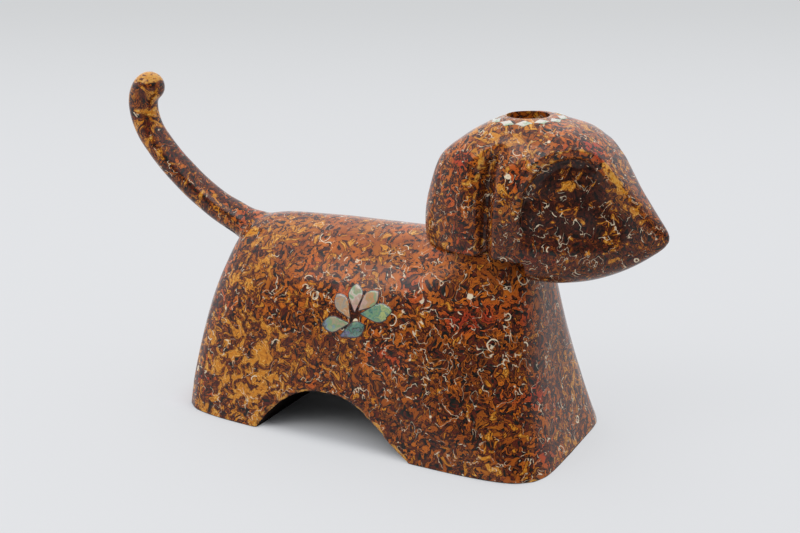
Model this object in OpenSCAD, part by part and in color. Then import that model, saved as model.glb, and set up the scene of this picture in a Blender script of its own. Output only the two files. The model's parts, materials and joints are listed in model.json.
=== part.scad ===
// Lacquered wooden dog figure with shell inlay.
// Origin: centre of the footprint box on the surface the dog stands on.
// +X points from the tail to the nose, +Y to the dog's left, +Z up.

/* [Body] */
// Length of the body at the floor, from rump to chest
body_length = 211; // [176:1:254]
// Width of the body at the floor
body_width = 104; // [86:0.1:125]
// Height of the flat seat under the head, which is the top of the neck
seat_height = 104; // [90:1:120]
// Distance from the part's origin forward to the foot of the chest
chest_reach = 115; // [106:1:124]
// How far the chest leans back between the floor and the neck
chest_lean = 19; // [10:1:26]
// How far the rump leans forward between the floor and the back
rump_lean = 22; // [12:1:30]
// How much lower the back is at the rump than at the neck
back_drop = 2.5; // [0:0.5:8]
// How much each flank leans in between the floor and the shoulder
flank_lean = 14; // [8:1:20]
// Width of the neck at the seat
neck_width = 56; // [44:1:62]

/* [Arch between the legs] */
// Height of the arch
arch_height = 25; // [15:1:36]
// Position of the arch's highest point along the body
arch_peak_x = 1; // [-12:1:10]
// Distance from the highest point back to the hind leg's foot
arch_rear_reach = 43; // [30:1:52]
// Distance from the highest point forward to the foreleg's foot
arch_front_reach = 47; // [30:1:58]

/* [Head] */
// Position of the hole's axis along the body
crown_x = 84; // [78:0.5:88]
// Height of the crown above the seat
crown_height = 66.5; // [58:0.5:74]
// Distance from the hole's axis forward to the nose
nose_reach = 71; // [62:1:80]
// Width of the head across the ears
head_width = 68; // [60:1:76]
// Depth of the hollow under each brow
cheek_depth = 5.5; // [2:0.5:7]
// How far each ear flap stands proud of the skull
ear_relief = 2.5; // [1:0.5:4]
// Depth of the groove in front of each ear
ear_groove = 5; // [2:0.5:7]
// Gap between the chin and the chest
chin_gap = 0.6; // [0.4:0.1:2]

/* [Crown hole] */
// Diameter of the round hole in the crown
hole_diameter = 20.6; // [16:0.1:25]
// Depth of the hole below the crown
hole_depth = 38; // [20:1:44]

/* [Tail] */
// Diameter of the tail where it leaves the rump
tail_root_diameter = 17; // [14:0.1:20]
// Diameter of the tail's ball end
tail_end_diameter = 17; // [14:0.5:22]

/* [Dowels] */
// Diameter of the neck dowel
neck_dowel_diameter = 12; // [8:0.5:16]
// Length of the neck dowel
neck_dowel_length = 40; // [24:1:48]
// Diameter of the tail dowel
tail_dowel_diameter = 7; // [5:0.5:8]
// Length of the tail dowel
tail_dowel_length = 34; // [20:1:40]
// Radial clearance of a dowel in its hole, and the spare depth at each end
dowel_clearance = 0.1; // [0.05:0.05:0.3]

/* [Shell inlay] */
// Thickness of the shell pieces
shell_thickness = 1.2; // [0.8:0.1:2]
// Gap round each shell piece in its pocket
shell_clearance = 0.15; // [0.1:0.05:0.3]
// Position of the flower's eye along the body
flower_x = 12; // [-10:1:20]
// Height of the flower's eye above the floor
flower_z = 68; // [48:1:70]
// Length of a petal
petal_length = 13.2; // [9:0.2:16]
// Width of a petal
petal_width = 7.2; // [4:0.2:7.6]
// Share of the front petal's length that its lower lobe reaches
lobe_share = 0.84; // [0.6:0.02:0.95]
// Length of the leaf below the petals
leaf_length = 14.5; // [9:0.5:16]
// Width of the leaf
leaf_width = 7; // [4:0.2:9]
// Radius of the ring of lozenges round the hole
lozenge_ring_radius = 16.6; // [15:0.2:19]
// Length of a lozenge, along the ring
lozenge_length = 8.2; // [6:0.2:8.6]
// Width of a lozenge
lozenge_width = 5; // [3:0.2:6]

/* [Hidden] */
$fn = 48;

// Petals: name, where the point lies from the flower's eye, direction in degrees, share of the petal's length
PETALS = [
    ["front_petal", [2.5, 0.1], 14, 1.26],
    ["upper_front_petal", [1, 1.4], 50, 1],
    ["top_petal", [-1.4, 0.4], 97, 1],
    ["upper_rear_petal", [-3.8, -3], 131, 1.04],
    ["rear_petal", [-4.2, -5.4], 192, 1.12]
];
LEAF = ["leaf", [-7.8, -12.4], 30, 1];
LOZENGE_COUNT = 12;

lacquer_colour = [0.55, 0.25, 0.07];
bare_wood_colour = [0.8, 0.66, 0.45];
shell_colour = [0.72, 0.78, 0.66];

// ---------- small helpers ----------

function mix(a, b, t) = a + (b - a) * t;
function clamp01(t) = min(1, max(0, t));
function smooth_step(a, b, x) = let (t = clamp01((x - a) / (b - a))) t * t * (3 - 2 * t);
// Rounded larger value of a and b, with the edge rounded over about k
function round_max(a, b, k) = let (h = max(k - abs(a - b), 0) / k) max(a, b) + h * h * k / 4;
function round_min(a, b, k) = -round_max(-a, -b, k);
// Distance past an egg with radii r and a squarish plan, close enough near its surface
function past_egg(p, r) =
    let (plan = pow(pow(abs(p[0] / r[0]), 2.2) + pow(abs(p[1] / r[1]), 2.2), 1 / 2.2))
    let (q = norm([plan, p[2] / r[2]]))
    let (g = norm([p[0] / r[0] / r[0], p[1] / r[1] / r[1], p[2] / r[2] / r[2]]))
    q * (q - 1) / max(g, 0.001);

// Closed skin over rings of equal size, capped by strips between mirrored points
module ring_skin(rings) {
    n = len(rings[0]);
    last = len(rings) - 1;
    points = [for (ring = rings) for (p = ring) p];
    sides = [for (j = [0:last - 1]) for (i = [0:n - 1])
        let (a = j * n + i)
        let (b = j * n + (i + 1) % n)
        let (rising = norm(points[b + n] - points[a]) < norm(points[a + n] - points[b]))
        for (t = rising ? [[a, a + n, b + n], [a, b + n, b]] : [[a, a + n, b], [b, a + n, b + n]]) t];
    half = n / 2;
    low = [for (i = [0:half - 1]) for (t = [[i, i + 1, n - 1 - i], [i, n - 1 - i, (n - i) % n]])
        if (t[0] != t[1] && t[1] != t[2] && t[0] != t[2]) t];
    high = [for (t = low) [t[2] + last * n, t[1] + last * n, t[0] + last * n]];
    polyhedron(points, concat(sides, low, high), convexity = 6);
}

// ---------- body ----------

rump_reach = body_length - chest_reach;
ring_flank_steps = 30;
ring_end_steps = 12;
body_rings = 30;

// Points on the edge of a two by two square, from the middle of the front round past the left flank
function square_edge() = concat(
    [for (k = [0:ring_end_steps / 2]) [1, 2 * k / ring_end_steps]],
    [for (k = [1:ring_flank_steps]) [1 - 2 * k / ring_flank_steps, 1]],
    [for (k = [1:ring_end_steps]) [-1, 1 - 2 * k / ring_end_steps]],
    [for (k = [1:ring_flank_steps]) [-1 + 2 * k / ring_flank_steps, -1]],
    [for (k = [1:ring_end_steps / 2 - 1]) [1, -1 + 2 * k / ring_end_steps]]
);
// Ends of the body at a height, as a share h of the seat height
function chest_x(h) = chest_reach - chest_lean * (1 - pow(1 - min(h * 1.08, 1), 1.5));
function rump_x(h) = -rump_reach + rump_lean * pow(h, 1.9) + 30 * pow(h, 40);
// Half width of the back half, which closes over the top, and of the neck, which stays open
function back_half_width(h) =
    max(1.2, (body_width / 2 - flank_lean * h) * sqrt(max(0, 1 - pow(h, 5))));
function neck_half_width(h) = mix(body_width / 2, neck_width / 2, pow(h, 1.6));
// The back turns into the neck between these two places, and drops behind the first
neck_start = crown_x - 57;
neck_full = crown_x - 15;
back_slope_length = 110;
function half_width(x, h) = mix(back_half_width(h), neck_half_width(h), smooth_step(neck_start, neck_full, x));
function back_share(x) = clamp01((neck_start + 10 - x) / back_slope_length);
function corner_power(h, front) = front ? mix(6.5, 3.2, pow(h, 0.7)) : mix(6.5, 2.6, pow(h, 1.2));
function surface_z(x, h) = (seat_height - back_drop * back_share(x)) * h;

function body_point(s, h) =
    let (front = s[0] > 0)
    let (n = corner_power(h, front))
    let (k = pow(pow(abs(s[0]), n) + pow(abs(s[1]), n), -1 / n))
    let (x_mid = (chest_x(h) + rump_x(h)) / 2)
    let (x = x_mid + s[0] * k * (chest_x(h) - rump_x(h)) / 2)
    [x, s[1] * k * half_width(x, h), surface_z(x, h)];
// Share of the seat height at ring j, closer together towards the back
function body_height_share(j) = 1 - pow(1 - j / body_rings, 1.7);

// Point on the left flank at a place along the body and a height
function flank_y(x, z) =
    let (h = z / (seat_height - back_drop * back_share(x)))
    let (front = x > (chest_x(h) + rump_x(h)) / 2)
    let (n = corner_power(h, front))
    let (sx = abs(x - (chest_x(h) + rump_x(h)) / 2) / ((chest_x(h) - rump_x(h)) / 2))
    half_width(x, h) * pow(1 - pow(sx, n), 1 / n);

module body_skin() {
    edge = square_edge();
    ring_skin([for (j = [0:body_rings])
        let (h = body_height_share(j))
        [for (s = edge) body_point(s, h)]]);
}

// Upper edge of the arch at a place u along each half, from 0 at the peak to 1 at the foot
function arch_rear(u) = 1 - pow(u, 2.6);
function arch_front(u) = pow(1 - u * u, 1.5);
module arch_cutter() {
    steps = 12;
    rear = [for (k = [steps:-1:0]) let (u = k / steps)
        [arch_peak_x - arch_rear_reach * u, arch_height * arch_rear(u)]];
    front = [for (k = [1:steps]) let (u = k / steps)
        [arch_peak_x + arch_front_reach * u, arch_height * arch_front(u)]];
    below = [[arch_peak_x + arch_front_reach, -2], [arch_peak_x - arch_rear_reach, -2]];
    rotate([90, 0, 0])
        linear_extrude(body_width + 10, center = true)
        polygon(concat(rear, front, below));
}

// ---------- tail ----------

tail_tilt = 22;
// Share of the seat height where the tail leaves the rump, and how far out its joint stands
tail_root_share = 0.89;
tail_stand_off = 11.5;
tail_joint = [
    rump_x(tail_root_share) - tail_stand_off,
    0,
    surface_z(rump_x(tail_root_share), tail_root_share) + tail_stand_off * tan(tail_tilt)
];
// Centreline past the joint: how far back, how far up, and a share of the tail's radius there
TAIL_ROUTE = [
    [0, 0, 1], [9, 3.8, 0.96], [20, 10.2, 0.94], [29.5, 17, 0.94], [39.5, 25.5, 0.94],
    [48, 34.5, 0.94], [54.5, 43, 0.93], [58, 52, 0.94], [58.7, 60, 0.96], [56.3, 66.3, 0.98], [52.5, 69, 1]
];
tail_sides = 24;

function route_point(k) = [tail_joint[0] - TAIL_ROUTE[k][0], 0, tail_joint[2] + TAIL_ROUTE[k][1]];
// Smooth curve through the route's points
function curve(a, b, c, d, t) =
    0.5 * (2 * b + (c - a) * t + (2 * a - 5 * b + 4 * c - d) * t * t + (3 * b - a - 3 * c + d) * t * t * t);
function tail_row(k) = let (last = len(TAIL_ROUTE) - 1)
    let (m = min(max(k, 0), last))
    concat(route_point(m), [mix(tail_root_diameter, tail_end_diameter, m / last) / 2 * TAIL_ROUTE[m][2]]);
steps_per_point = 3;
function tail_at(j) =
    let (k = floor(j / steps_per_point))
    curve(tail_row(k - 1), tail_row(k), tail_row(k + 1), tail_row(k + 2), j / steps_per_point - k);
function tail_angle(j) = j <= 0 ? tail_tilt :
    let (d = tail_at(j + 0.5) - tail_at(j - 0.5)) atan2(d[2], -d[0]);
function tail_ring(centre, angle, r) = [for (i = [0:tail_sides - 1])
    let (a = 360 * (i + 0.5) / tail_sides)
    [centre[0] + r * sin(a) * sin(angle), -r * cos(a), centre[2] + r * sin(a) * cos(angle)]];

module tail_skin() {
    last = (len(TAIL_ROUTE) - 1) * steps_per_point - 1;
    end = tail_at(last);
    end_angle = tail_angle(last - 0.5);
    dome_steps = 7;
    ring_skin(concat(
        [for (j = [0:last]) let (c = tail_at(j)) tail_ring(c, tail_angle(j), c[3])],
        [for (k = [1:dome_steps])
            let (a = 88 * k / dome_steps)
            let (c = [end[0] - end[3] * sin(a) * cos(end_angle), 0, end[2] + end[3] * sin(a) * sin(end_angle)])
            tail_ring(c, end_angle, end[3] * cos(a))]
    ));
}

// Places its children with +Z along the tail's axis, out of the rump, at the joint
module at_tail_joint() {
    translate(tail_joint) rotate([0, tail_tilt - 90, 0]) children();
}

// Flared stump on the rump that the tail is doweled to
module tail_stump() {
    flare = 2.5;
    reach = 20;
    r = tail_root_diameter / 2;
    at_tail_joint() rotate_extrude()
        polygon(concat(
            [[0, -reach], [0, 0], [r, 0]],
            [for (k = [1:6]) let (t = k / 6) [r + flare * t * t * t, -reach * t * 0.8]],
            [[r + flare, -reach]]
        ));
}

module dowel_hole(diameter, length) {
    cylinder(d = diameter + 2 * dowel_clearance, h = length + 2 * dowel_clearance, center = true);
}
// Places along the body, measured back from the crown hole
neck_dowel_x = crown_x - 25;
module at_neck_joint() {
    translate([neck_dowel_x, 0, seat_height]) children();
}

// ---------- head ----------

// The head is measured from the hole's axis at the seat. Its flat sides face these directions, in degrees
// up from straight ahead, or out from straight ahead for the cheek, and stand this far out.
roof_angle = 41;
roof_reach = 64.1;
forehead_angle = 70.7;
forehead_reach = 65.5;
nape_angle = 134.5;
nape_reach = 28;
cheek_angle = 69.5;
cheek_inset = 3.5;
jaw_angle = -55.2;
jaw_reach = 35;
chin_drop = 12.5;
// How much the flat sides crown across the width
crowning = 0.006;
muzzle_rear = -2;
// Nose reach and crown height at which the reaches above hold
usual_nose = 71;
usual_crown = 65;
function past_plane(ahead, across, angle, reach) = ahead * cos(angle) + across * sin(angle) - reach;
// Roof of the muzzle, forehead, cheeks and nape
function past_muzzle(p) =
    let (y = abs(p[1]))
    let (ahead = p[0] - nose_reach + usual_nose)
    let (up = p[2] - crown_height + usual_crown)
    let (roof = past_plane(ahead, p[2], roof_angle, roof_reach) + crowning * y * y)
    let (forehead = past_plane(p[0], up, forehead_angle, forehead_reach) + crowning * y * y)
    let (cheek = past_plane(ahead, y - head_width / 2 + cheek_inset, cheek_angle, 0))
    let (rear = round_max(past_plane(p[0], up, nape_angle, nape_reach), muzzle_rear - p[0], 10))
    round_max(round_max(round_max(roof, forehead, 6), cheek, 5), rear, 10);
// Egg of the skull: how far ahead and how high its middle lies, and its half length
skull_ahead = 3;
skull_rise = 10;
skull_half_length = 51.5;
skull_inset = 1.5;
// How much flatter than an egg the crown runs across the width, from one height up to another
crown_flatness = 0.7;
crown_flat_from = 25;
crown_flat_to = 60;
function skull_across(p) =
    let (y = abs(p[1]))
    y * pow(y / (head_width / 2 - skull_inset), crown_flatness * smooth_step(crown_flat_from, crown_flat_to, p[2]));
function past_skull(p) = past_egg(
    [p[0] - skull_ahead, skull_across(p), p[2] - skull_rise],
    [skull_half_length, head_width / 2 - skull_inset, crown_height - skull_rise]
);
// Underside of the jaw, rising to the nose
function past_jaw(p) =
    let (ahead = p[0] - nose_reach + usual_nose)
    let (slant = past_plane(ahead, p[2], jaw_angle, jaw_reach) + crowning * p[1] * p[1])
    let (chin = -p[2] - chin_drop + crowning / 1.5 * p[1] * p[1])
    round_max(slant, chin, 12);

// Line of the groove in front of the ear, as x at a height
function groove_x(z) = -9.3 + 0.03 * pow(max(0, z - 38), 2);
// Upper edge of the hollow under the brow: an arc round a middle, then straight down towards the nose
brow_middle = [38.5, 24];
brow_radius = 31;
brow_bend = [46, 52.5];
brow_line_angle = 43.3;
// The line above holds this far from the middle of the head, and runs back and down where the head is narrower
brow_side = 29;
brow_run = [0.36, 0.25];
function inside_brow(p) =
    let (in = brow_side - abs(p[1]))
    let (x = p[0] + brow_run[0] * in)
    let (z = p[2] + brow_run[1] * in)
    let (arc = brow_radius - norm([x - brow_middle[0], max(0, z - brow_middle[1])]))
    let (line = -past_plane(x - brow_bend[0], z - brow_bend[1], brow_line_angle, 0))
    round_min(arc, line, 5);
function cheek_hollow(p) =
    let (under = smooth_step(-1, 5, inside_brow(p)))
    let (front = 1 - smooth_step(50, 70, p[0]))
    let (fade = smooth_step(2, 30, p[2]))
    cheek_depth * under * front * fade;
function ear_shape(p) =
    let (d = p[0] - groove_x(p[2]))
    let (low = 1 - smooth_step(42, 56, p[2]))
    let (flap = ear_relief * (1 - smooth_step(-10, -1, d)) * low)
    let (groove = ear_groove * exp(-pow(d / 3.8, 2)) * low)
    flap - groove;
function past_head(p) =
    let (side = smooth_step(6, 16, abs(p[1])))
    round_max(round_min(past_skull(p), past_muzzle(p), 7), past_jaw(p), 8)
    + side * (cheek_hollow(p) - ear_shape(p));

// Distance along a ray from the head's middle to its surface, halving the gap n times
function head_reach(from, dir, near, far, n) =
    let (half = (near + far) / 2)
    n == 0 ? half :
    past_head(from + half * dir) > 0 ? head_reach(from, dir, near, half, n - 1) :
    head_reach(from, dir, half, far, n - 1);
head_middle = [5, 0, 22];
function head_surface(dir) = head_middle + head_reach(head_middle, dir, 5, 95, 13) * dir;
head_rings = 58;
head_sides = 72;
function head_ring(j) = [for (i = [0:head_sides - 1])
    let (a = 180 * j / head_rings)
    let (b = -360 * (i + 0.5) / head_sides)
    let (d = [70 * cos(a), 34 * sin(a) * cos(b), 44 * sin(a) * sin(b)])
    head_surface(d / norm(d))];

module head_skin() {
    translate([crown_x, 0, seat_height])
        ring_skin([for (j = [0.3, each [1:head_rings - 1], head_rings - 0.3]) head_ring(j)]);
}

// Everything that the body and the gap under the chin take from the head
module head_underside() {
    back = crown_x - 70;
    translate([back, -head_width, seat_height - 40])
        cube([chest_x(1) + chin_gap - back, 2 * head_width, 40]);
}

// A narrow step round the hole: how far its floor lies below the full height of the crown, and its width
rim_drop = 2;
rim_land = 0.8;
module crown_hole() {
    top = seat_height + crown_height;
    translate([crown_x, 0, top - hole_depth]) cylinder(d = hole_diameter, h = hole_depth + 10);
    translate([crown_x, 0, top - rim_drop]) cylinder(d = hole_diameter + 2 * rim_land, h = 10);
}

// ---------- shell ----------

// How far a pocket's cutter stands out of the wood
pocket_headroom = 3;
// Drop with its point at the origin, along +X
function drop_outline(length, width, gap) =
    let (steps = 10)
    let (upper = [for (k = [0:steps])
        let (t = k / steps)
        [mix(-gap, length + gap, (1 - cos(180 * t)) / 2),
         (width / 2 + gap) * pow(sin(180 * pow((1 - cos(180 * t)) / 2, 1.5)), 0.85)]])
    concat(upper, [for (k = [steps - 1:-1:1]) [upper[k][0], -upper[k][1]]]);

// Turns its children so that their +Z stands square on the flank at x, z
module on_flank(x, z, side) {
    y = flank_y(x, z);
    step = 2;
    lean = atan((flank_y(x, z - step) - flank_y(x, z + step)) / (2 * step));
    yaw = atan((flank_y(x + step, z) - flank_y(x - step, z)) / (2 * step));
    translate([x, side * y, z])
        rotate([0, 0, side * yaw])
        rotate([side * (lean - 90), 0, 0])
        children();
}

// The front petal has a second, lower lobe from the same root
lobe_turn = 15;
lobe_width_share = 0.62;
module petal_outline(name, long, width, side, gap) {
    polygon(drop_outline(long, width, gap));
    if (name == "front_petal")
        rotate(side * lobe_turn) polygon(drop_outline(long * lobe_share, width * lobe_width_share, gap));
}

module petal_solid(p, length, width, side, gap) {
    angle = p[2];
    long = length * p[3];
    x = flower_x + p[1][0] + long / 2 * cos(angle);
    z = flower_z + p[1][1] + long / 2 * sin(angle);
    on_flank(x, z, side)
        rotate([0, 0, -side * angle])
        translate([-long / 2, 0, -shell_thickness])
        linear_extrude(shell_thickness + (gap > 0 ? pocket_headroom : 0))
        petal_outline(p[0], long, width, side, gap);
}
module flower_piece(p, side, gap) {
    if (p[0] == "leaf") petal_solid(p, leaf_length, leaf_width, side, gap);
    else petal_solid(p, petal_length, petal_width, side, gap);
}

// Lozenge number i on the crown, laid flat on the skull at its middle
module lozenge(i, gap) {
    a = 360 * (i - 0.5) / LOZENGE_COUNT;
    x = lozenge_ring_radius * cos(a);
    y = lozenge_ring_radius * sin(a);
    z = crown_z(x, y);
    step = 2;
    slope_x = (crown_z(x + step, y) - crown_z(x - step, y)) / (2 * step);
    slope_y = (crown_z(x, y + step) - crown_z(x, y - step)) / (2 * step);
    steep = atan(norm([slope_x, slope_y]));
    down = atan2(-slope_y, -slope_x);
    long = lozenge_length / 2 + gap * 1.5;
    wide = lozenge_width / 2 + gap * 1.3;
    translate([crown_x + x, y, seat_height + z])
        rotate([0, 0, down])
        rotate([0, steep, 0])
        rotate([0, 0, a + 90 - down])
        translate([0, 0, -shell_thickness])
        linear_extrude(shell_thickness + (gap > 0 ? pocket_headroom : 0))
        polygon([[long, 0], [0, wide], [-long, 0], [0, -wide]]);
}
function crown_climb(x, y, low, high, n) =
    let (half = (low + high) / 2)
    n == 0 ? half :
    past_head([x, y, half]) > 0 ? crown_climb(x, y, low, half, n - 1) : crown_climb(x, y, half, high, n - 1);
function crown_z(x, y) = crown_climb(x, y, 25, 90, 16);

// ---------- pieces ----------

module body() {
    color(lacquer_colour) difference() {
        union() {
            body_skin();
            tail_stump();
        }
        arch_cutter();
        at_neck_joint() dowel_hole(neck_dowel_diameter, neck_dowel_length);
        at_tail_joint() dowel_hole(tail_dowel_diameter, tail_dowel_length);
        for (side = [-1, 1]) for (p = concat(PETALS, [LEAF])) flower_piece(p, side, shell_clearance);
    }
}
module head() {
    color(lacquer_colour) difference() {
        head_skin();
        head_underside();
        crown_hole();
        at_neck_joint() dowel_hole(neck_dowel_diameter, neck_dowel_length);
        for (i = [1:LOZENGE_COUNT]) lozenge(i, shell_clearance);
    }
}
module tail() {
    color(lacquer_colour) difference() {
        tail_skin();
        at_tail_joint() dowel_hole(tail_dowel_diameter, tail_dowel_length);
    }
}
module neck_dowel() {
    color(bare_wood_colour) at_neck_joint()
        cylinder(d = neck_dowel_diameter, h = neck_dowel_length, center = true);
}
module tail_dowel() {
    color(bare_wood_colour) at_tail_joint()
        cylinder(d = tail_dowel_diameter, h = tail_dowel_length, center = true);
}

module flower_shell(p, side) {
    color(shell_colour) flower_piece(p, side, 0);
}
module crown_shell(i) {
    color(shell_colour) lozenge(i, 0);
}

body();
head();
tail();
neck_dowel();
tail_dowel();
for (p = concat(PETALS, [LEAF])) {
    flower_shell(p, -1);
    flower_shell(p, 1);
}
for (i = [1:LOZENGE_COUNT])
    crown_shell(i);
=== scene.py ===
import bpy
import json
import math
import numpy as np
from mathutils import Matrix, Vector


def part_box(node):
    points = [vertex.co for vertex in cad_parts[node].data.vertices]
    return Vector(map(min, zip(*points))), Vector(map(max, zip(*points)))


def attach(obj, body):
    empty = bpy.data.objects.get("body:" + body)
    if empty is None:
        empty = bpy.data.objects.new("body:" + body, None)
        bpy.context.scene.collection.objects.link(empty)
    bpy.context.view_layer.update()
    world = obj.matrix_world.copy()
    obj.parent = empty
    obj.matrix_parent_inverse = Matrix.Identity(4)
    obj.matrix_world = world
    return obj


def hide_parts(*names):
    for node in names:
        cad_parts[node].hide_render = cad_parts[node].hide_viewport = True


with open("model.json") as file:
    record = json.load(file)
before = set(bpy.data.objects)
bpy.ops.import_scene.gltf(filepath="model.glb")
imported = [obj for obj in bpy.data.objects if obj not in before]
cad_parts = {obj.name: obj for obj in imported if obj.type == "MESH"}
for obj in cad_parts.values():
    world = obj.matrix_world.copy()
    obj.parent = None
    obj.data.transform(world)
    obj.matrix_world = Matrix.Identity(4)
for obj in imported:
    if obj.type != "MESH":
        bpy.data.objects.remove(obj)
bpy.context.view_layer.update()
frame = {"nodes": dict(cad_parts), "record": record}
nodes = frame["nodes"]
mm = 0.001

petalNames = ["front_petal", "upper_front_petal", "top_petal", "upper_rear_petal", "rear_petal", "leaf"]
flowerNodes = [side + name for side in ("right_", "left_") for name in petalNames]
lozengeNodes = sorted(name for name in nodes if name.startswith("crown_lozenge_"))


# Small tools that every piece uses

def pickOnly(thing):
    bpy.ops.object.select_all(action="DESELECT")
    thing.select_set(True)
    bpy.context.view_layer.objects.active = thing


def editMesh(thing, *steps):
    pickOnly(thing)
    bpy.ops.object.mode_set(mode="EDIT")
    bpy.ops.mesh.select_all(action="SELECT")
    for step in steps:
        step()
    bpy.ops.object.mode_set(mode="OBJECT")


def selectFaces(thing, wanted):  # from edit mode, leaves only the faces that pass the test selected
    bpy.ops.mesh.select_mode(type="FACE")
    bpy.ops.mesh.select_all(action="DESELECT")
    bpy.ops.object.mode_set(mode="OBJECT")
    for face in thing.data.polygons:
        face.select = wanted(face)
    bpy.ops.object.mode_set(mode="EDIT")


def copyOfNode(nodeName, pieceName, grow=0.0):
    thing = bpy.data.objects.new(pieceName, nodes[nodeName].data.copy())
    bpy.context.scene.collection.objects.link(thing)
    thing.data.materials.clear()
    editMesh(thing, lambda: bpy.ops.mesh.remove_doubles(threshold=0.01 * mm))
    if grow:
        editMesh(thing, lambda: bpy.ops.transform.shrink_fatten(value=grow))
    return thing


def applyModifier(thing, kind, **settings):
    pickOnly(thing)
    modifier = thing.modifiers.new(kind.title(), kind)
    for key, value in settings.items():
        setattr(modifier, key, value)
    bpy.ops.object.modifier_apply(modifier=modifier.name)


def joinInto(thing, extras):
    pickOnly(thing)
    for extra in extras:
        extra.select_set(True)
    bpy.ops.object.join()


def finishPiece(piece, slotName, material, *replaced):
    piece.data.materials.clear()
    piece.data.materials.append(material)
    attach(piece, "root")
    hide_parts(*replaced)


def readPoints(mesh, what="co"):
    values = np.empty(len(mesh.vertices) * 3)
    mesh.vertices.foreach_get(what, values)
    return values.reshape(-1, 3)


def writePoints(mesh, points):
    mesh.vertices.foreach_set("co", points.ravel())
    mesh.update()


def step01(low, high, values):  # smooth 0 to 1 between low and high
    t = np.clip((values - low) / (high - low), 0, 1)
    return t * t * (3 - 2 * t)


def saveMask(mesh, name, values):
    mesh.attributes.new(name, "FLOAT", "POINT").data.foreach_set("value", values)


def averager(mesh):  # returns a function that averages values over the neighbours of each point
    ends = np.empty(len(mesh.edges) * 2, int)
    mesh.edges.foreach_get("vertices", ends)
    start, end = ends.reshape(-1, 2).T
    share = np.bincount(ends, minlength=len(mesh.vertices))

    def around(values):
        if values.ndim == 2:
            return np.stack([around(column) for column in values.T], axis=1)
        gathered = np.bincount(start, values[end], len(share)) + np.bincount(end, values[start], len(share))
        return gathered / share
    return around


def polish(mesh, rounds):  # rubs the surface smooth, then gives back the size that the rubbing took
    around = averager(mesh)
    rough = readPoints(mesh)
    smooth = rough
    for _ in range(rounds):
        smooth = (smooth + around(smooth)) / 2
    lost = rough - smooth
    for _ in range(rounds):
        lost = (lost + around(lost)) / 2
    writePoints(mesh, smooth + lost)


def bendOf(mesh, rounds):  # how far each point stands out of its neighbours, in mm, averaged over some rounds
    around = averager(mesh)
    points = readPoints(mesh)
    bend = ((points - around(points)) * readPoints(mesh, "normal")).sum(axis=1) / mm
    for _ in range(rounds):
        bend = (bend + around(bend)) / 2
    return bend


# Skins: the carved wood under its lacquer

skin = {
    "bodyVoxel": 1.15 * mm,
    "headVoxel": 0.8 * mm,
    "plugGrow": 0.3 * mm,     # closes the pockets that the CAD cuts for shell and dowels
    "skirt": 5 * mm,          # the base is drawn this far down, and cut off again once the skin is smooth
    "bodyRounds": 16,
    "headRounds": 9,
    "wavesHeight": 0.35 * mm,  # long waves left by rubbing by hand
    "backRise": 1.2 * mm,
    "crownSink": 1.5 * mm,
    "footSpread": 0.05,
    "rimGrow": 1.1 * mm,      # fills the narrow step that the CAD leaves round the hole
    "rimFill": 0.8 * mm,
    "wavesSize": 0.022,
}


def fuse(thing, plugs, voxel, rounds):
    joinInto(thing, plugs)
    applyModifier(thing, "REMESH", mode="VOXEL", voxel_size=voxel)
    polish(thing.data, rounds)
    waves = bpy.data.textures.new("polishingWaves", "CLOUDS")
    waves.noise_scale = skin["wavesSize"]
    waves.noise_depth = 1
    applyModifier(thing, "DISPLACE", texture=waves, texture_coords="LOCAL", strength=skin["wavesHeight"])


def cutAt(thing, place, away):  # drops what lies beyond a plane and closes the cut
    editMesh(thing, lambda: bpy.ops.mesh.bisect(plane_co=place, plane_no=away, use_fill=True, clear_outer=True,
                                                threshold=0.01 * mm))


def makeBodyAndTail():
    ends = readPoints(nodes["tail_dowel"].data)
    behind = ends[:, 0] < ends[:, 0].mean()
    joint = Vector(ends.mean(axis=0))
    axis = Vector(ends[behind].mean(axis=0) - ends[~behind].mean(axis=0)).normalized()
    body = copyOfNode("body", "lacqueredBody")
    editMesh(body, lambda: selectFaces(body, lambda face: face.normal.z < -0.99 and face.center.z < 0.1 * mm),
             lambda: bpy.ops.mesh.extrude_region_move(TRANSFORM_OT_translate={"value": (0, 0, -skin["skirt"])}))
    plugs = [copyOfNode(name, "plug", skin["plugGrow"]) for name in flowerNodes + ["neck_dowel", "tail_dowel"]]
    fuse(body, [copyOfNode("tail", "plug")] + plugs, skin["bodyVoxel"], skin["bodyRounds"])
    points = readPoints(body.data)
    points[:, 1] *= 1 + skin["footSpread"] * (1 - step01(-0.005, 0.05, points[:, 2]))
    points[:, 2] += skin["backRise"] * step01(0.045, 0.09, points[:, 2]) * (1 - step01(0.11, 0.15, points[:, 2]))
    writePoints(body.data, points)
    cutAt(body, (0, 0, 0), (0, 0, -1))
    tail = body.copy()  # one skin runs over the joint, and the cut shares it out
    tail.data = body.data.copy()
    tail.name = "lacqueredTail"
    bpy.context.scene.collection.objects.link(tail)
    cutAt(body, joint, axis)
    cutAt(tail, joint, -axis)
    return body, tail


# The head's lines, in mm ahead of the hole's axis and above the seat
face = {
    "browMiddle": (38.5, 24),
    "browRadius": 31,
    "browBend": (46, 52.5),
    "browLineAngle": 43.3,
    "browSide": 29,
    "browRun": (0.36, 0.25),
    "hollowDepth": 5.5,
    "cadWall": (-1, 5),       # where the CAD's hollow starts and reaches its depth
    "carvedWall": (0.2, 4.0),
    "lip": 0.7,
    "grooveLine": (-9.3, 0.03, 38),
    "grooveDepth": 1.6,
    "flapLip": 0.8,
}
holeMount = next(mount for mount in frame["record"]["mounts"] if mount["name"] == "crown_hole")
holeRadius = holeMount["dims"]["r_mm"] * mm
seat = Vector((holeMount["pos_m"][0], 0, (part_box("neck_dowel")[0].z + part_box("neck_dowel")[1].z) / 2))


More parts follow.
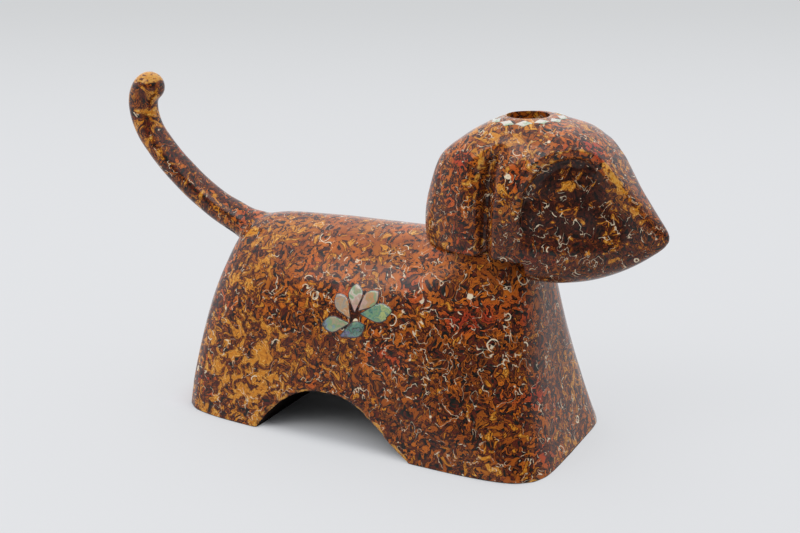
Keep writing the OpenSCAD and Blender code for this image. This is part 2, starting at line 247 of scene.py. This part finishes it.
def insideBrow(x, y, z):  # the line leans back and down where the head is narrower, as in the CAD
    inward = face["browSide"] - np.abs(y)
    x, z = x + face["browRun"][0] * inward, z + face["browRun"][1] * inward
    arc = face["browRadius"] - np.hypot(x - face["browMiddle"][0], np.maximum(0, z - face["browMiddle"][1]))
    angle = math.radians(face["browLineAngle"])
    line = -(x - face["browBend"][0]) * math.cos(angle) - (z - face["browBend"][1]) * math.sin(angle)
    rounding = np.maximum(5 - np.abs(arc - line), 0) / 5
    return np.minimum(arc, line) - rounding ** 2 * 5 / 4


def pastGroove(x, z):
    start, curl, straight = face["grooveLine"]
    return x - start - curl * np.maximum(0, z - straight) ** 2


def faceLines(mesh):
    x, y, z = ((readPoints(mesh) - np.array(seat)) / mm).T
    side = step01(6, 16, np.abs(y))
    hollow = side * step01(2, 30, z) * (1 - step01(50, 70, x))
    low = side * (1 - step01(42, 56, z))
    return x, y, z, insideBrow(x, y, z), pastGroove(x, z), hollow, low


def carveFace(mesh):  # crisper than the CAD's facets can hold
    x, y, z, inside, past, hollow, low = faceLines(mesh)
    wall = step01(*face["carvedWall"], inside) - step01(*face["cadWall"], inside)
    carve = -face["hollowDepth"] * wall * hollow
    carve += face["lip"] * np.exp(-((inside + 1.6) / 1.7) ** 2) * hollow
    carve -= face["grooveDepth"] * np.exp(-(past / 1.5) ** 2) * low
    carve += face["flapLip"] * np.exp(-((past + 5.0) / 1.8) ** 2) * low
    writePoints(mesh, readPoints(mesh) + readPoints(mesh, "normal") * (carve * mm)[:, None])


def roundBar(name, radius, low, high):
    bpy.ops.mesh.primitive_cylinder_add(vertices=96, radius=radius, depth=high - low,
                                        location=(seat.x, 0, (low + high) / 2))
    bpy.context.object.name = name
    bpy.ops.object.transform_apply()
    return bpy.context.object


def makeHead():
    head = copyOfNode("head", "lacqueredHead")
    points = readPoints(head.data)
    reach = np.linalg.norm(points[:, :2] - np.array(seat)[:2], axis=1)
    wall = points[(abs(reach - holeRadius) < 0.1 * mm) & (points[:, 2] > seat.z + 15 * mm), 2]
    plugs = [copyOfNode(name, "plug", skin["plugGrow"]) for name in lozengeNodes + ["neck_dowel"]]
    bottom, top = wall.min() - 1 * mm, wall.max() + skin["rimFill"]
    plugs.append(roundBar("plug", holeRadius + skin["rimGrow"], bottom, top))
    fuse(head, plugs, skin["headVoxel"], skin["headRounds"])
    carveFace(head.data)
    points = readPoints(head.data)
    points[:, 2] -= skin["crownSink"] * step01(0.045, 0.062, points[:, 2] - seat.z)
    writePoints(head.data, points)
    drill = roundBar("drill", holeRadius, wall.min(), 0.2)  # the hole is cut last, so its edge stays crisp
    applyModifier(head, "BOOLEAN", operation="DIFFERENCE", object=drill, solver="EXACT")
    bpy.data.objects.remove(drill)
    return head


body, tail = makeBodyAndTail()
head = makeHead()
for thing in (body, tail, head):
    print(thing.name, len(thing.data.polygons), "faces", [round(v / mm, 1) for v in thing.dimensions])


# Node helpers for the finishes

def addNode(tree, kind, inputs=None, **settings):
    node = tree.nodes.new(kind)
    for key, value in settings.items():
        setattr(node, key, value)
    for key, value in (inputs or {}).items():
        if isinstance(value, bpy.types.NodeSocket):
            tree.links.new(value, node.inputs[key])
        else:
            node.inputs[key].default_value = value
    return node


def sums(tree, operation, a, b=0.0, c=0.0):
    return addNode(tree, "ShaderNodeMath", {0: a, 1: b, 2: c}, operation=operation).outputs[0]


def fade(tree, value, low, high, start=0.0, end=1.0):
    return addNode(tree, "ShaderNodeMapRange", {"Value": value, "From Min": low, "From Max": high, "To Min": start,
                                                "To Max": end}, interpolation_type="SMOOTHSTEP").outputs["Result"]


def paint(tree, share, under, over, mode="MIX"):
    return addNode(tree, "ShaderNodeMix", {0: share, 6: under, 7: over}, data_type="RGBA",
                   blend_type=mode).outputs[2]


def ramp(tree, value, *stops):
    node = addNode(tree, "ShaderNodeValToRGB", {"Fac": value})
    strip = node.color_ramp
    for element in list(strip.elements)[1:]:
        strip.elements.remove(element)
    strip.elements[0].position = stops[0][0]
    strip.elements[0].color = stops[0][1]
    for place, colour in stops[1:]:
        strip.elements.new(place).color = colour
    return node.outputs["Color"]


def grain(tree, place, size, detail=1.5, distortion=0.0, roughness=0.5):  # size of one bump, in metres
    return addNode(tree, "ShaderNodeTexNoise", {"Vector": place, "Scale": 1 / size, "Detail": detail,
                                                "Roughness": roughness, "Distortion": distortion})


def shifted(tree, place, offset):
    return addNode(tree, "ShaderNodeVectorMath", {0: place, 1: offset}, operation="ADD").outputs[0]


def swirled(tree, place, size, reach):
    flow = grain(tree, place, size, detail=1).outputs["Color"]
    centred = addNode(tree, "ShaderNodeVectorMath", {0: flow, 1: (-0.5, -0.5, -0.5)}, operation="ADD").outputs[0]
    push = addNode(tree, "ShaderNodeVectorMath", {0: centred, "Scale": reach}, operation="SCALE").outputs[0]
    return addNode(tree, "ShaderNodeVectorMath", {0: place, 1: push}, operation="ADD").outputs[0]


def newGroup(name, inputs, outputs):
    group = bpy.data.node_groups.new(name, "ShaderNodeTree")
    for label, kind, value in inputs:
        socket = group.interface.new_socket(label, in_out="INPUT", socket_type="NodeSocket" + kind)
        if value is not None:
            socket.default_value = value
    for label, kind in outputs:
        group.interface.new_socket(label, in_out="OUTPUT", socket_type="NodeSocket" + kind)
    return group, group.nodes.new("NodeGroupInput").outputs, group.nodes.new("NodeGroupOutput").inputs


def newMaterial(name):
    material = bpy.data.materials.new(name)
    material.use_nodes = True
    tree = material.node_tree
    return material, tree, tree.nodes["Principled BSDF"], addNode(tree, "ShaderNodeTexCoord").outputs["Object"]


# Lacquer: many coats over a bumpy ground, rubbed flat so that each bump shows rings of colour

coats = {
    "black": (0.010, 0.006, 0.005, 1),
    "night": (0.012, 0.016, 0.013, 1),
    "maroon": (0.045, 0.011, 0.007, 1),
    "wine": (0.120, 0.020, 0.010, 1),
    "brown": (0.120, 0.038, 0.008, 1),
    "red": (0.400, 0.045, 0.014, 1),
    "rust": (0.280, 0.066, 0.009, 1),
    "orange": (0.480, 0.125, 0.011, 1),
    "amber": (0.430, 0.138, 0.011, 1),
    "gold": (0.560, 0.215, 0.018, 1),
    "straw": (0.660, 0.360, 0.070, 1),
    "cream": (0.700, 0.580, 0.400, 1),
}
lacquer = {
    "blobSize": 5.6 * mm,
    "flakeSize": 3.0 * mm,
    "groundSize": 2.0 * mm,
    "threadSize": 9.0 * mm,
    "arcSpacing": 17 * mm,
    "roughness": 0.34,
    "coatRoughness": 0.2,
    "coatIor": 1.34,
}


def signedField(tree, value, level):
    return sums(tree, "SUBTRACT", value, level)


def island(tree, field, soft):
    return fade(tree, field, -soft, soft)


def ring(tree, field, middle, width):  # a thin line where the field passes a value
    away = sums(tree, "ABSOLUTE", sums(tree, "SUBTRACT", field, middle))
    return fade(tree, away, width * 0.45, width, 1.0, 0.0)


def makeCoatsGroup():
    tree, given, result = newGroup("rubbedCoats", [
        ("Place", "Vector", None), ("Blob Size", "Float", 1.0), ("Gold", "Float", 0.5), ("Red", "Float", 0.5),
        ("Pale", "Float", 0.5), ("Worn", "Float", 0.0), ("Deep", "Float", 0.0), ("Undershade", "Float", 0.0),
    ], [("Color", "Color"), ("Height", "Float"), ("Gloss", "Float"), ("Coat", "Float")])
    c = coats
    place = addNode(tree, "ShaderNodeVectorMath", {0: given["Place"], "Scale": given["Blob Size"]},
                    operation="SCALE").outputs[0]
    broad = swirled(tree, place, 11 * mm, 9 * mm)
    curled = swirled(tree, broad, 3.2 * mm, 2.2 * mm)
    zone = grain(tree, place, 30 * mm, detail=1).outputs["Fac"]
    # ground coats
    groundLevel = grain(tree, curled, lacquer["groundSize"], detail=2.5).outputs["Fac"]
    colour = ramp(tree, groundLevel, (0.30, c["black"]), (0.40, c["night"]), (0.45, c["maroon"]), (0.52, c["wine"]),
                  (0.55, c["maroon"]), (0.60, c["brown"]), (0.66, c["rust"]), (0.72, c["maroon"]))
    # red and orange flakes
    flakes = grain(tree, shifted(tree, curled, (0.3, 0.1, 0.2)), lacquer["flakeSize"], detail=1.5).outputs["Fac"]
    flakeField = signedField(tree, flakes, fade(tree, given["Red"], 0, 1, 0.72, 0.42))
    flakeInk = ramp(tree, sums(tree, "MULTIPLY_ADD", zone, 1.5, -0.25), (0.2, c["red"]), (0.42, c["orange"]),
                    (0.6, c["rust"]), (0.8, c["amber"]))
    colour = paint(tree, ring(tree, flakeField, -0.035, 0.03), colour, c["black"])
    colour = paint(tree, island(tree, flakeField, 0.008), colour, flakeInk)
    colour = paint(tree, ring(tree, flakeField, 0.06, 0.016), colour, c["wine"])
    # painted shade: the shading mask, broken up by the flakes, turns hollows and creases black, maroon and wine
    shadingInk = ramp(tree, groundLevel, (0.42, c["black"]), (0.56, c["maroon"]), (0.62, c["black"]), (0.72, c["wine"]))
    shadingField = sums(tree, "ADD", given["Deep"], sums(tree, "MULTIPLY", sums(tree, "SUBTRACT", flakes, 0.5), 1.5))
    colour = paint(tree, sums(tree, "MULTIPLY", fade(tree, shadingField, 0.35, 0.6), 0.95), colour, shadingInk)
    # gold blobs with rings inside and outside
    blobs = grain(tree, shifted(tree, broad, (0.1, 0.5, 0.3)), lacquer["blobSize"], detail=2, distortion=0.8)
    zoned = sums(tree, "MULTIPLY_ADD", sums(tree, "SUBTRACT", zone, 0.5), 0.25, blobs.outputs["Fac"])
    blobField = signedField(tree, zoned, fade(tree, given["Gold"], 0, 1, 0.70, 0.42))
    blobInk = ramp(tree, groundLevel, (0.34, c["brown"]), (0.42, c["amber"]), (0.55, c["gold"]), (0.66, c["amber"]),
                   (0.72, c["straw"]))
    colour = paint(tree, ring(tree, blobField, -0.022, 0.022), colour, c["maroon"])
    colour = paint(tree, ring(tree, blobField, -0.05, 0.012), colour, c["rust"])
    colour = paint(tree, island(tree, blobField, 0.006), colour, blobInk)
    colour = paint(tree, ring(tree, blobField, 0.045, 0.011), colour, c["brown"])
    colour = paint(tree, ring(tree, blobField, 0.075, 0.01), colour, c["straw"])
    # pale threads and C-shaped arcs
    threads = grain(tree, shifted(tree, curled, (0.7, 0.2, 0.6)), lacquer["threadSize"], detail=2.5).outputs["Fac"]
    where = grain(tree, shifted(tree, place, (0.4, 0.9, 0.1)), 6 * mm, detail=1).outputs["Fac"]
    paleLine = sums(tree, "MULTIPLY", ring(tree, threads, 0.5, 0.009),
                    fade(tree, sums(tree, "MULTIPLY_ADD", given["Pale"], 0.3, where), 0.62, 0.70))
    colour = paint(tree, sums(tree, "MULTIPLY", paleLine, 0.8), colour, c["cream"])
    cells = addNode(tree, "ShaderNodeTexVoronoi", {"Vector": swirled(tree, place, 8 * mm, 2 * mm),
                                                   "Scale": 1 / lacquer["arcSpacing"]})
    arcs = sums(tree, "MULTIPLY", ring(tree, cells.outputs["Distance"], 0.17, 0.016),
                fade(tree, where, 0.50, 0.54))
    colour = paint(tree, arcs, colour, c["cream"])
    specks = addNode(tree, "ShaderNodeTexVoronoi", {"Vector": curled, "Scale": 1 / (4.2 * mm)}).outputs["Distance"]
    colour = paint(tree, fade(tree, specks, 0.06, 0.10, 0.6, 0.0), colour, c["cream"])
    # rubbed ridges, then painted shade: black with a thinner coat inside the tunnel and under the body
    rubbed = ramp(tree, groundLevel, (0.36, c["brown"]), (0.44, c["gold"]), (0.56, c["straw"]), (0.64, c["gold"]))
    patchy = sums(tree, "ADD", given["Worn"], sums(tree, "MULTIPLY", sums(tree, "SUBTRACT", where, 0.5), 1.2))
    colour = paint(tree, sums(tree, "MULTIPLY", fade(tree, patchy, 0.45, 0.62), 0.85), colour, rubbed)
    uneven = sums(tree, "MULTIPLY_ADD", sums(tree, "SUBTRACT", groundLevel, 0.5), 0.5, given["Undershade"])
    undershade = fade(tree, uneven, 0.45, 0.55)
    colour = paint(tree, undershade, colour, c["black"])
    tree.links.new(sums(tree, "SUBTRACT", 1.0, sums(tree, "MULTIPLY", undershade, 0.85)), result["Coat"])
    # slight relief left after rubbing
    relief = sums(tree, "ADD", sums(tree, "MULTIPLY", island(tree, blobField, 0.03), 0.5),
                  sums(tree, "MULTIPLY", groundLevel, 0.8))
    pits = addNode(tree, "ShaderNodeTexVoronoi", {"Vector": broad, "Scale": 1 / (9 * mm)}).outputs["Distance"]
    relief = sums(tree, "SUBTRACT", relief, fade(tree, pits, 0.03, 0.10, 1.5, 0.0))
    tree.links.new(colour, result["Color"])
    tree.links.new(relief, result["Height"])
    tree.links.new(fade(tree, groundLevel, 0.35, 0.65, 0.85, 1.2), result["Gloss"])
    return tree


coatsGroup = makeCoatsGroup()


def readMask(tree, name):
    return addNode(tree, "ShaderNodeAttribute", attribute_name=name).outputs["Fac"]


def makeLacquer(name, blobSize):
    material, tree, shader, place = newMaterial(name)
    layers = addNode(tree, "ShaderNodeGroup", node_tree=coatsGroup)
    tree.links.new(place, layers.inputs["Place"])
    layers.inputs["Blob Size"].default_value = blobSize
    for mask in ("Gold", "Red", "Pale", "Worn", "Deep", "Undershade"):
        tree.links.new(readMask(tree, mask.lower()), layers.inputs[mask])
    bump = addNode(tree, "ShaderNodeBump", {"Height": layers.outputs["Height"], "Strength": 0.5,
                                            "Distance": 0.12 * mm})
    tree.links.new(layers.outputs["Color"], shader.inputs["Base Color"])
    tree.links.new(bump.outputs["Normal"], shader.inputs["Normal"])
    tree.links.new(sums(tree, "MULTIPLY", layers.outputs["Gloss"], lacquer["roughness"]),
                   shader.inputs["Roughness"])
    shader.inputs["Specular IOR Level"].default_value = 0.0
    shader.inputs["Coat IOR"].default_value = lacquer["coatIor"]
    tree.links.new(layers.outputs["Coat"], shader.inputs["Coat Weight"])
    shader.inputs["Coat Roughness"].default_value = lacquer["coatRoughness"]
    return material


# Where each coat comes through, as masks on the skins

# A level over the whole body, then spots: how much more, the middle and the reach, in mm
bodyTones = {
    "gold": (0.34, (0.44, (-70, 0, 20), (50, 90, 45)), (0.10, (100, 0, 10), (40, 90, 40)),
             (-0.26, (66, 0, 55), (42, 90, 40))),
    "red": (0.56, (0.30, (20, 0, 100), (70, 60, 25)), (-0.25, (-80, 0, 20), (45, 90, 40))),
    "pale": (0.42, (0.45, (58, 0, 68), (25, 90, 22)), (0.25, (40, 0, 20), (40, 90, 15))),
}


def near(points, centre, reach):
    away = np.linalg.norm((points / mm - np.array(centre)) / np.array(reach), axis=1)
    return np.exp(-away ** 2)


def spotted(points, level, *spots):
    for amount, centre, reach in spots:
        level = level + amount * near(points, centre, reach)
    return level


lowTop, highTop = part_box("right_top_petal")
flowerEye = Vector(((lowTop.x + highTop.x) / 2, 0, lowTop.z))


def toneBody(thing):
    mesh = thing.data
    points, normals = readPoints(mesh), readPoints(mesh, "normal")
    bend = bendOf(mesh, 8)
    x, y, z = (points / mm).T
    inTunnel = (np.abs(normals[:, 1]) < 0.5) & (z < 27) & (x > -48) & (x < 54)
    underneath = normals[:, 2] < -0.55
    for name, tones in bodyTones.items():
        saveMask(mesh, name, spotted(points, *tones))
    saveMask(mesh, "worn", step01(0.02, 0.06, bend) * 0.5)
    # painted shade where the surface bends in, under the head's overhang and at the flower's eye; it also darkens a
    # broad patch over the shoulder
    deep = step01(0.01, 0.05, -bend) * 0.6 + 0.3 * near(points, (62, 0, 95), (14, 60, 14)) \
        + 0.42 * near(points, (74, 0, 52), (38, 90, 40)) + near(points, (flowerEye.x / mm, 0, flowerEye.z / mm),
                                                               (5, 90, 5))
    saveMask(mesh, "deep", deep)
    # painted shade: black, with a thinner coat, inside the tunnel and on faces turned down
    saveMask(mesh, "undershade", np.where(inTunnel | underneath, 1.0, 0.0))


def toneHead(thing):
    mesh = thing.data
    points = readPoints(mesh)
    x, y, z, inside, past, hollow, low = faceLines(mesh)
    lip = np.exp(-((inside + 1.2) / 1.8) ** 2) * hollow
    flapEdge = np.exp(-((past + 4.2) / 1.8) ** 2) * low
    count = len(points)
    flapTop = step01(30, 40, z) * (1 - step01(46, 54, z))
    slope = step01(40, 46, x) * step01(33, 40, z) * np.exp(-((inside + 0.5) / 2.4) ** 2)
    jaw = step01(-20, 5, x) * (1 - step01(18, 30, z))
    # less gold at the jaw and in the face hollow is painted shade
    saveMask(mesh, "gold", 0.34 + 0.25 * near(points, (75, 0, 160), (30, 60, 14)) - 0.08 * jaw
             - 0.08 * step01(1, 4, inside) * hollow)
    saveMask(mesh, "red", 0.52 + 0.2 * near(points, (85, 0, 165), (50, 40, 25)))
    saveMask(mesh, "pale", np.full(count, 0.45))
    saveMask(mesh, "worn", 0.42 * lip + 0.75 * flapEdge * flapTop + 0.75 * slope)
    groove = np.exp(-((past - 0.5) / 2.5) ** 2) * low
    # painted shade in the face hollow, at the jaw and in the ear's groove
    saveMask(mesh, "deep", 0.75 * step01(1, 4, inside) * hollow + 0.35 * jaw + 0.7 * groove)
    saveMask(mesh, "undershade", np.zeros(count))


def toneTail(thing):
    mesh = thing.data
    points = readPoints(mesh)
    tip = points[:, 2].max() / mm
    saveMask(mesh, "gold", np.full(len(points), 0.45))
    saveMask(mesh, "red", np.full(len(points), 0.4))
    saveMask(mesh, "pale", np.full(len(points), 0.25))
    saveMask(mesh, "worn", step01(tip - 9, tip - 2, points[:, 2] / mm))
    saveMask(mesh, "deep", np.zeros(len(points)))
    saveMask(mesh, "undershade", np.zeros(len(points)))


toneBody(body)
toneHead(head)
toneTail(tail)
bodyLacquer = makeLacquer("rubbedLacquerBody", 1.0)
headLacquer = makeLacquer("rubbedLacquerHead", 1.25)
tailLacquer = makeLacquer("rubbedLacquerTail", 0.9)
for piece in (body, head, tail):
    pickOnly(piece)
    bpy.ops.object.shade_smooth_by_angle(angle=math.radians(45))
finishPiece(body, "body_lacquer", bodyLacquer, "body")
finishPiece(head, "head_lacquer", headLacquer, "head")
finishPiece(tail, "tail_lacquer", tailLacquer, "tail")
print("lacquer on")


# Shell pieces

shell = {
    "proud": 0.14 * mm,
    "rimProud": 0.05 * mm,
    "spread": 0.2 * mm,
    "rimWidth": 0.7 * mm,
    "thickness": 0.7 * mm,
    "bevel": 0.12 * mm,
}
shellInks = {
    "sand": (0.38, 0.28, 0.17, 1), "grey": (0.26, 0.23, 0.19, 1), "apricot": (0.50, 0.20, 0.05, 1),
    "leafGreen": (0.17, 0.30, 0.13, 1), "sea": (0.06, 0.20, 0.15, 1), "lime": (0.40, 0.44, 0.14, 1),
    "blush": (0.52, 0.30, 0.24, 1), "sky": (0.16, 0.23, 0.30, 1), "violet": (0.08, 0.06, 0.20, 1),
    "ink": (0.02, 0.035, 0.035, 1), "milk": (0.52, 0.50, 0.38, 1), "pearl": (0.56, 0.48, 0.40, 1),
}
petalInks = {  # from the point to the round end
    "front_petal": ("ink", "sea", "leafGreen", "sea", "lime", "leafGreen"),
    "upper_front_petal": ("sand", "blush", "sand", "apricot", "leafGreen", "sand"),
    "top_petal": ("blush", "sand", "blush", "milk", "leafGreen", "sand"),
    "upper_rear_petal": ("milk", "apricot", "sand", "grey", "apricot", "grey"),
    "rear_petal": ("milk", "leafGreen", "sand", "leafGreen", "sky", "ink"),
    "leaf": ("leafGreen", "sea", "ink", "sea", "violet", "ink"),
}
lozengeInks = ("pearl", "milk", "pearl", "milk", "leafGreen", "milk")


def makeShellGroup():
    tree, given, result = newGroup("shellFigure", [("Place", "Vector", None), ("Along", "Float", 0.5)],
                                   [("Figure", "Float"), ("Lines", "Float")])
    wavy = swirled(tree, given["Place"], 4 * mm, 4 * mm)
    cloud = grain(tree, wavy, 3.5 * mm, detail=2).outputs["Fac"]
    figure = sums(tree, "MULTIPLY_ADD", sums(tree, "SUBTRACT", cloud, 0.5), 1.6, given["Along"])
    lines = grain(tree, shifted(tree, wavy, (0.2, 0.3, 0.1)), 0.7 * mm, detail=2).outputs["Fac"]
    tree.links.new(figure, result["Figure"])
    tree.links.new(lines, result["Lines"])
    return tree


shellGroup = makeShellGroup()


def makeShell(name, inks):
    material, tree, shader, place = newMaterial(name)
    figure = addNode(tree, "ShaderNodeGroup", node_tree=shellGroup)
    tree.links.new(place, figure.inputs["Place"])
    tree.links.new(readMask(tree, "along"), figure.inputs["Along"])
    colour = ramp(tree, figure.outputs["Figure"], *[(i / (len(inks) - 1), shellInks[ink])
                                                    for i, ink in enumerate(inks)])
    colour = paint(tree, fade(tree, figure.outputs["Lines"], 0.42, 0.62, 0.30, 0.0), colour, shellInks["grey"])
    tree.links.new(colour, shader.inputs["Base Color"])
    shader.inputs["Roughness"].default_value = 0.25
    shader.inputs["Coat Weight"].default_value = 1.0
    shader.inputs["Coat Roughness"].default_value = 0.08
    return material


def makeRimLacquer():
    material, tree, shader, place = newMaterial("darkBeddingLacquer")
    spots = grain(tree, place, 2 * mm).outputs["Fac"]
    tree.links.new(ramp(tree, spots, (0.4, coats["black"]), (0.6, coats["maroon"])), shader.inputs["Base Color"])
    shader.inputs["Roughness"].default_value = 0.3
    shader.inputs["Coat Weight"].default_value = 1.0
    return material


rimLacquer = makeRimLacquer()


def widen(mesh, outward, reach):  # moves the outline of a flat plate outwards, in its own plane
    outline = list(max(mesh.polygons, key=lambda face: face.area).vertices)
    points = readPoints(mesh)
    loop = points[outline]
    out = np.cross(np.roll(loop, -1, axis=0) - loop, np.array(outward))
    out /= np.linalg.norm(out, axis=1)[:, None]
    corner = out + np.roll(out, 1, axis=0)
    points[outline] += corner / np.linalg.norm(corner, axis=1)[:, None] * reach
    writePoints(mesh, points)


def shellPlate(nodeName, pieceName, ground, outward, spread, proud, eye):
    plate = copyOfNode(nodeName, pieceName)
    editMesh(plate,
             lambda: selectFaces(plate, lambda face: face.normal.dot(outward) < 0.6),
             lambda: bpy.ops.mesh.delete(type="FACE"),
             lambda: bpy.ops.mesh.select_all(action="SELECT"),
             lambda: bpy.ops.mesh.dissolve_limited(angle_limit=math.radians(5)))
    widen(plate.data, outward, spread)
    low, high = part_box(nodeName)
    for axis in range(3):  # cuts across the plate let it follow the curve of the wood
        normal = Vector([float(i == axis) for i in range(3)])
        if abs(normal.dot(outward)) < 0.7:
            for cut in np.arange(low[axis] + 0.7 * mm, high[axis], 1.1 * mm):
                editMesh(plate, lambda: bpy.ops.mesh.bisect(plane_co=normal * float(cut), plane_no=normal,
                                                            threshold=0.001 * mm))
    applyModifier(plate, "SHRINKWRAP", target=ground, wrap_method="NEAREST_SURFACEPOINT",
                  wrap_mode="ABOVE_SURFACE", offset=proud)
    applyModifier(plate, "SOLIDIFY", thickness=shell["thickness"], offset=-1)
    applyModifier(plate, "BEVEL", width=shell["bevel"], segments=2, limit_method="ANGLE",
                  angle_limit=math.radians(50))
    points = readPoints(plate.data)
    away = np.linalg.norm(points - np.array(eye), axis=1)
    saveMask(plate.data, "along", (away - away.min()) / (away.max() - away.min()))
    pickOnly(plate)
    bpy.ops.object.shade_smooth_by_angle(angle=math.radians(35))
    return plate


def makeFlower(side, across):
    low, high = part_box(side + "top_petal")
    eye = Vector(((low.x + high.x) / 2, (low.y + high.y) / 2, low.z))
    for name in petalNames:
        plate = shellPlate(side + name, side + name + "_plate", body, across, shell["spread"], shell["proud"], eye)
        rim = shellPlate(side + name, side + name + "_bedding", body, across, shell["rimWidth"],
                         shell["rimProud"], eye)
        finishPiece(plate, "petal_shell", petalMaterials[name], side + name)
        finishPiece(rim, "body_lacquer", rimLacquer)


petalMaterials = {name: makeShell("shell_" + name, inks) for name, inks in petalInks.items()}
makeFlower("right_", Vector((0, -0.97, 0.24)))
makeFlower("left_", Vector((0, 0.97, 0.24)))
crownShell = makeShell("crownShell", lozengeInks)
holeAxis = (sum((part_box(name)[0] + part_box(name)[1] for name in lozengeNodes), Vector())) / (2 * len(lozengeNodes))
for name in lozengeNodes:
    lozenge = shellPlate(name, name + "_plate", head, Vector((0, 0, 1)), shell["spread"], shell["proud"],
                         holeAxis - Vector((0.03, 0, 0)))
    finishPiece(lozenge, "crown_shell", crownShell, name)
print("shell in")


# Dowels keep their CAD shape and get a beech finish

def makeBeech():
    material, tree, shader, place = newMaterial("turnedBeech")
    along = addNode(tree, "ShaderNodeMapping", {"Vector": place, "Scale": (3, 1, 1)}).outputs[0]
    fibres = grain(tree, along, 1.2 * mm, detail=4).outputs["Fac"]
    tree.links.new(ramp(tree, fibres, (0.3, (0.45, 0.28, 0.14, 1)), (0.7, (0.66, 0.48, 0.28, 1))),
                   shader.inputs["Base Color"])
    shader.inputs["Roughness"].default_value = 0.6
    return material


beech = makeBeech()
for name in ("neck_dowel", "tail_dowel"):
    for materialSlot in nodes[name].material_slots:
        materialSlot.material = beech


# Floor, lights and camera

studio = {
    "floorSize": 6,
    "floorDrop": 0.0003,                   # keeps the floor clear of the feet
    "backward": (-0.47, 0.88, 0),          # away from the camera, along the floor
    "floorColour": (0.60, 0.60, 0.60, 1),
    "seenFloor": (0.73, 0.74, 0.755, 1),   # what the camera and the gloss see of the floor, before its shadows
    "seenFar": (0.58, 0.59, 0.59, 1),
    "seenShare": 0.72,
    "tentColour": (0.93, 0.95, 1.0, 1),
    "underneath": (0.098, 0.044),          # half the ground that the object stands on, where only true shadow shows
    "tentBehind": 1.05,
    "tentAbove": 1.75,
    "tentFront": 0.08,
    "frontPower": 6.5,
    "frontPlace": (-0.5, -1.1, 1.2),
    "frontSize": 0.9,
}
view = {"place": (0.311, -0.557, 0.283), "tilt": 72.3, "turn": 28, "lens": 57.15, "sensor": 36}


def makeFloor():
    bpy.ops.object.select_all(action="DESELECT")
    bpy.ops.mesh.primitive_plane_add(size=studio["floorSize"], location=(0, 0, -studio["floorDrop"]))
    floor = bpy.context.object
    floor.name = "floor"
    material, tree, shader, place = newMaterial("paleFloor")
    shader.inputs["Base Color"].default_value = studio["floorColour"]
    shader.inputs["Roughness"].default_value = 1.0
    shader.inputs["Specular IOR Level"].default_value = 0.0
    path = addNode(tree, "ShaderNodeLightPath").outputs
    seen = sums(tree, "MAXIMUM", path["Is Camera Ray"], sums(tree, "MAXIMUM", path["Is Glossy Ray"],
                                                             path["Is Transmission Ray"]))
    # painted shade: the floor that the camera and the gloss see fades darker away from the camera
    away = addNode(tree, "ShaderNodeVectorMath", {0: place, 1: studio["backward"]}, operation="DOT_PRODUCT")
    seenColour = paint(tree, fade(tree, away.outputs["Value"], 0.3, 2.2), studio["seenFloor"], studio["seenFar"])
    glow = addNode(tree, "ShaderNodeEmission", {"Color": seenColour})
    apart = addNode(tree, "ShaderNodeVectorMath", {0: place}, operation="ABSOLUTE").outputs[0]
    apart = addNode(tree, "ShaderNodeVectorMath", {0: apart, 1: (*studio["underneath"], 0)}, operation="SUBTRACT")
    apart = addNode(tree, "ShaderNodeVectorMath", {0: apart.outputs[0], 1: (0, 0, 0)}, operation="MAXIMUM")
    apart = addNode(tree, "ShaderNodeVectorMath", {0: apart.outputs[0]}, operation="LENGTH").outputs["Value"]
    share = sums(tree, "MULTIPLY", seen, fade(tree, apart, 0.0, 0.016, 0.0, studio["seenShare"]))
    mixed = addNode(tree, "ShaderNodeMixShader", {0: share, 1: shader.outputs[0], 2: glow.outputs[0]})
    tree.links.new(mixed.outputs[0], tree.nodes["Material Output"].inputs["Surface"])
    floor.data.materials.append(material)


def makeTent():  # a pale tent behind and above, and a dark room on the camera's side
    world = bpy.data.worlds.new("lightTent")
    world.use_nodes = True
    tree = world.node_tree
    toward = addNode(tree, "ShaderNodeTexCoord").outputs["Generated"]
    behind = addNode(tree, "ShaderNodeVectorMath", {0: toward, 1: studio["backward"]}, operation="DOT_PRODUCT")
    height = addNode(tree, "ShaderNodeSeparateXYZ", {0: toward}).outputs["Z"]
    level = fade(tree, behind.outputs["Value"], -0.75, 0.25, studio["tentFront"], studio["tentBehind"])
    above = fade(tree, height, 0.35, 0.8)
    level = sums(tree, "ADD", sums(tree, "MULTIPLY", level, sums(tree, "SUBTRACT", 1.0, above)),
                 sums(tree, "MULTIPLY", above, studio["tentAbove"]))
    camera = addNode(tree, "ShaderNodeLightPath").outputs["Is Camera Ray"]
    level = sums(tree, "MAXIMUM", level, sums(tree, "MULTIPLY", camera, studio["seenFloor"][0]))
    back = tree.nodes["Background"]
    back.inputs["Color"].default_value = studio["tentColour"]
    tree.links.new(level, back.inputs["Strength"])
    bpy.context.scene.world = world


def makeLight(name, place, size, power):
    bpy.ops.object.light_add(type="AREA", location=place)
    lamp = bpy.context.object
    lamp.name = name
    lamp.data.size = size
    lamp.data.energy = power
    lamp.rotation_euler = (-Vector(place)).to_track_quat("-Z", "Y").to_euler()


makeFloor()
makeTent()
makeLight("frontSoftbox", studio["frontPlace"], studio["frontSize"], studio["frontPower"])
bpy.context.scene.view_settings.view_transform = "Standard"

bpy.ops.object.camera_add(location=view["place"],
                          rotation=(math.radians(view["tilt"]), 0, math.radians(view["turn"])))
camera = bpy.context.object
camera.data.lens = view["lens"]
camera.data.sensor_width = view["sensor"]
bpy.context.scene.camera = camera
print("studio ready")
